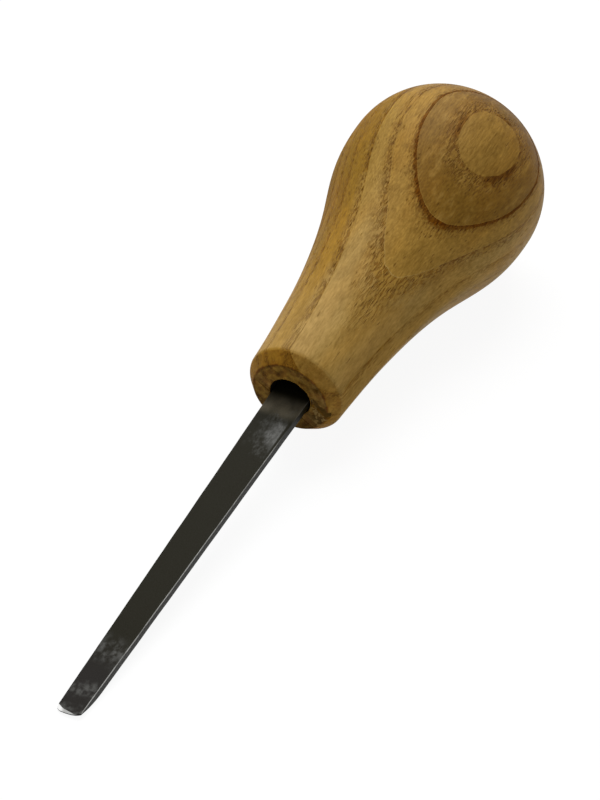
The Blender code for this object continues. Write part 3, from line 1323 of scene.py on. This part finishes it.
    def build(self) -> Object:
        """Forge the blade and mark its arrises and its honed facet.

        Returns:
            The blade's mesh, in the scene.
        """
        rings, arris, heights = [], [], self.stations()
        for height in heights:
            section = self.section(height)
            rings.append([self.laid(point, height) for point, _ in section])
            arris += [mark for _, mark in section]
        made = skin("blade_forged", rings, End.FLAT, End.FLAT)
        marks = made.data.attributes.new(Mark.ARRIS.value, "FLOAT", "POINT")
        marks.data.foreach_set("value", arris)
        honed = made.data.attributes.new(Mark.HONED.value, "FLOAT", "FACE")
        around = len(rings[0])
        first_honed = around * (len(heights) - 1 - self.honed_steps)
        for face in made.data.polygons:
            upper = face.vertices[0] % around <= self.corner_steps * 2 + self.face_steps
            facet = face.index >= first_honed and len(face.vertices) == 4
            honed.data[face.index].value = float(facet and upper)
        return made


@dataclass(frozen=True)
class TangBedding(SubAssembly):
    """The plug of resin that set round the tang, with the hollow that its surface drew into."""

    radius: float = 0.003716
    front: float = 0.0143
    back: float = 0.0357
    cone: float = 0.0022
    meniscus: float = 0.0010
    slot_front_width: float = 0.0056
    slot_back_width: float = 0.0036
    slot_end: float = 0.0323
    slot_thickness: float = 0.0021
    slot_middle: float = -0.00075
    around: int = 64
    wall_steps: int = 14
    meniscus_steps: int = 8

    def slot_ring(self, height: float) -> list[Vector]:
        """Draw the slot's section.

        Args:
            height: where along the tool it is drawn.

        Returns:
            The points round the slot.
        """
        share = (height - self.front) / (self.slot_end - self.front)
        half_width = between(self.slot_front_width, self.slot_back_width, share) / 2
        half_thick = self.slot_thickness / 2
        ring = []
        for angle in turn(self.around):
            out, across = math.cos(angle), math.sin(angle)
            grow = 1.0 / max(abs(out) / half_thick, abs(across) / half_width)
            ring.append(Vector((self.slot_middle + out * grow, across * grow, height)))
        return ring

    def round_ring(self, radius: float, height: float) -> list[Vector]:
        """Return a circle about the tool's axis."""
        angles = turn(self.around)
        return [Vector((radius * math.cos(a), radius * math.sin(a), height)) for a in angles]

    def build(self) -> Object:
        """Cast the plug.

        Returns:
            The plug's mesh, in the scene.
        """
        shares = [step / self.wall_steps for step in range(self.wall_steps + 1)]
        rings = [self.slot_ring(between(self.slot_end, self.front, share)) for share in shares]
        mouth = rings[-1]
        rim = self.round_ring(self.radius, self.front)
        for step in range(1, self.meniscus_steps):
            share = step / self.meniscus_steps
            sunk = Vector((0.0, 0.0, self.meniscus * 4 * share * (1 - share)))
            rings.append([inner.lerp(outer, share) + sunk for inner, outer in zip(mouth, rim)])
        for share in shares:
            rings.append(self.round_ring(self.radius, between(self.front, self.back, share)))
        rings.append(self.round_ring(self.radius / 3, self.back + self.cone * 2 / 3))
        return skin("tang_bedding_cast", rings, End.FLAT, End.POLE)


@dataclass(frozen=True)
class Viewpoint:
    """A place round the tool: azimuth 0 stands at -Y and 90 at +X, in degrees."""

    azimuth: float
    elevation: float
    distance: float
    aim: Triple = (0.0, 0.0, 0.0)

    def place(self, name: str, data: bpy.types.ID) -> Object:
        """Put a lamp or camera here, turned to the aim.

        Args:
            name: the new object's name.
            data: the lamp or camera.

        Returns:
            The new object, in the scene.
        """
        around, up = math.radians(self.azimuth), math.radians(self.elevation)
        back = Vector((math.sin(around) * math.cos(up), -math.cos(around) * math.cos(up), math.sin(up)))
        made = shown(name, data)
        made.location = Vector(self.aim) + back * self.distance
        made.rotation_euler = back.to_track_quat("Z", "Y").to_euler()
        return made


@dataclass(frozen=True)
class Studio:
    """A white floor, a pale sky, one soft lamp behind the tool and the camera.

    A lamp's level of 1 shows white paper as white.
    """

    floor_half: float = 3.0
    floor_drop: float = 0.00015
    sky: float = 0.215
    key: Viewpoint = Viewpoint(azimuth=-57.0, elevation=60.0, distance=1.2)
    key_size: float = 1.1
    key_level: float = 1.0
    view: Viewpoint = Viewpoint(117.52, 37.70, 0.43579, aim=(-0.00058, 0.0, 0.00843))
    lens: float = 109.435
    sensor: float = 36.0

    def lay_floor(self) -> None:
        """Lay the floor that the tool rests on."""
        work = bmesh.new()
        bmesh.ops.create_grid(work, x_segments=1, y_segments=1, size=self.floor_half)
        mesh = bpy.data.meshes.new("floor")
        work.to_mesh(mesh)
        work.free()
        mesh.materials.append(PaleFloor().material())
        floor = shown("floor", mesh)
        floor.location.z = -self.floor_drop

    def light(self) -> None:
        """Light the tool with the sky and the lamp."""
        graph = NodeGraph(bpy.data.worlds.new("studio"))
        lit = graph.node("Background", {}, {"Color": WHITE, "Strength": self.sky})
        seen = graph.node("Background", {}, {"Color": WHITE, "Strength": 1.0})
        graph.surface(graph.node("MixShader", {}, {0: graph.camera_sees(), 1: lit, 2: seen}))
        bpy.context.scene.world = graph.owner
        lamp = bpy.data.lights.new("key_soft_box", "AREA")
        lamp.shape = "SQUARE"
        lamp.size = self.key_size
        lamp.energy = self.key_level * (math.pi * self.key.distance) ** 2
        self.key.place("key_soft_box", lamp)

    def set_camera(self) -> None:
        """Set the camera where it looks at the tool from the photographed side."""
        camera = bpy.data.cameras.new("camera")
        camera.lens = self.lens
        camera.sensor_width = self.sensor
        bpy.context.scene.camera = self.view.place("camera", camera)
        bpy.context.scene.view_settings.view_transform = "Standard"

    def set_up(self) -> None:
        """Make the whole studio."""
        self.lay_floor()
        self.light()
        self.set_camera()


def main() -> None:
    """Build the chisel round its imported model."""
    logging.basicConfig(level=logging.INFO, format="%(name)s: %(message)s")
    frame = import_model()
    handle = Handle()
    tool = ToolFrame.from_record(frame["record"], handle.ring_middle)
    pieces = (
        (handle, OiledWood(), Piece.HANDLE, Slot.OILED_WOOD),
        (Blade(), BlackSteel(), Piece.BLADE, Slot.BLACK_STEEL),
        (TangBedding(), CuredResin(), Piece.TANG_BEDDING, Slot.CURED_RESIN),
    )
    for part, finish, node, slot in pieces:
        made = part.build()
        part.dress(made, finish, tool)
        settle(made, tool, node)
    Studio().set_up()


if __name__ == "__main__":
    main()
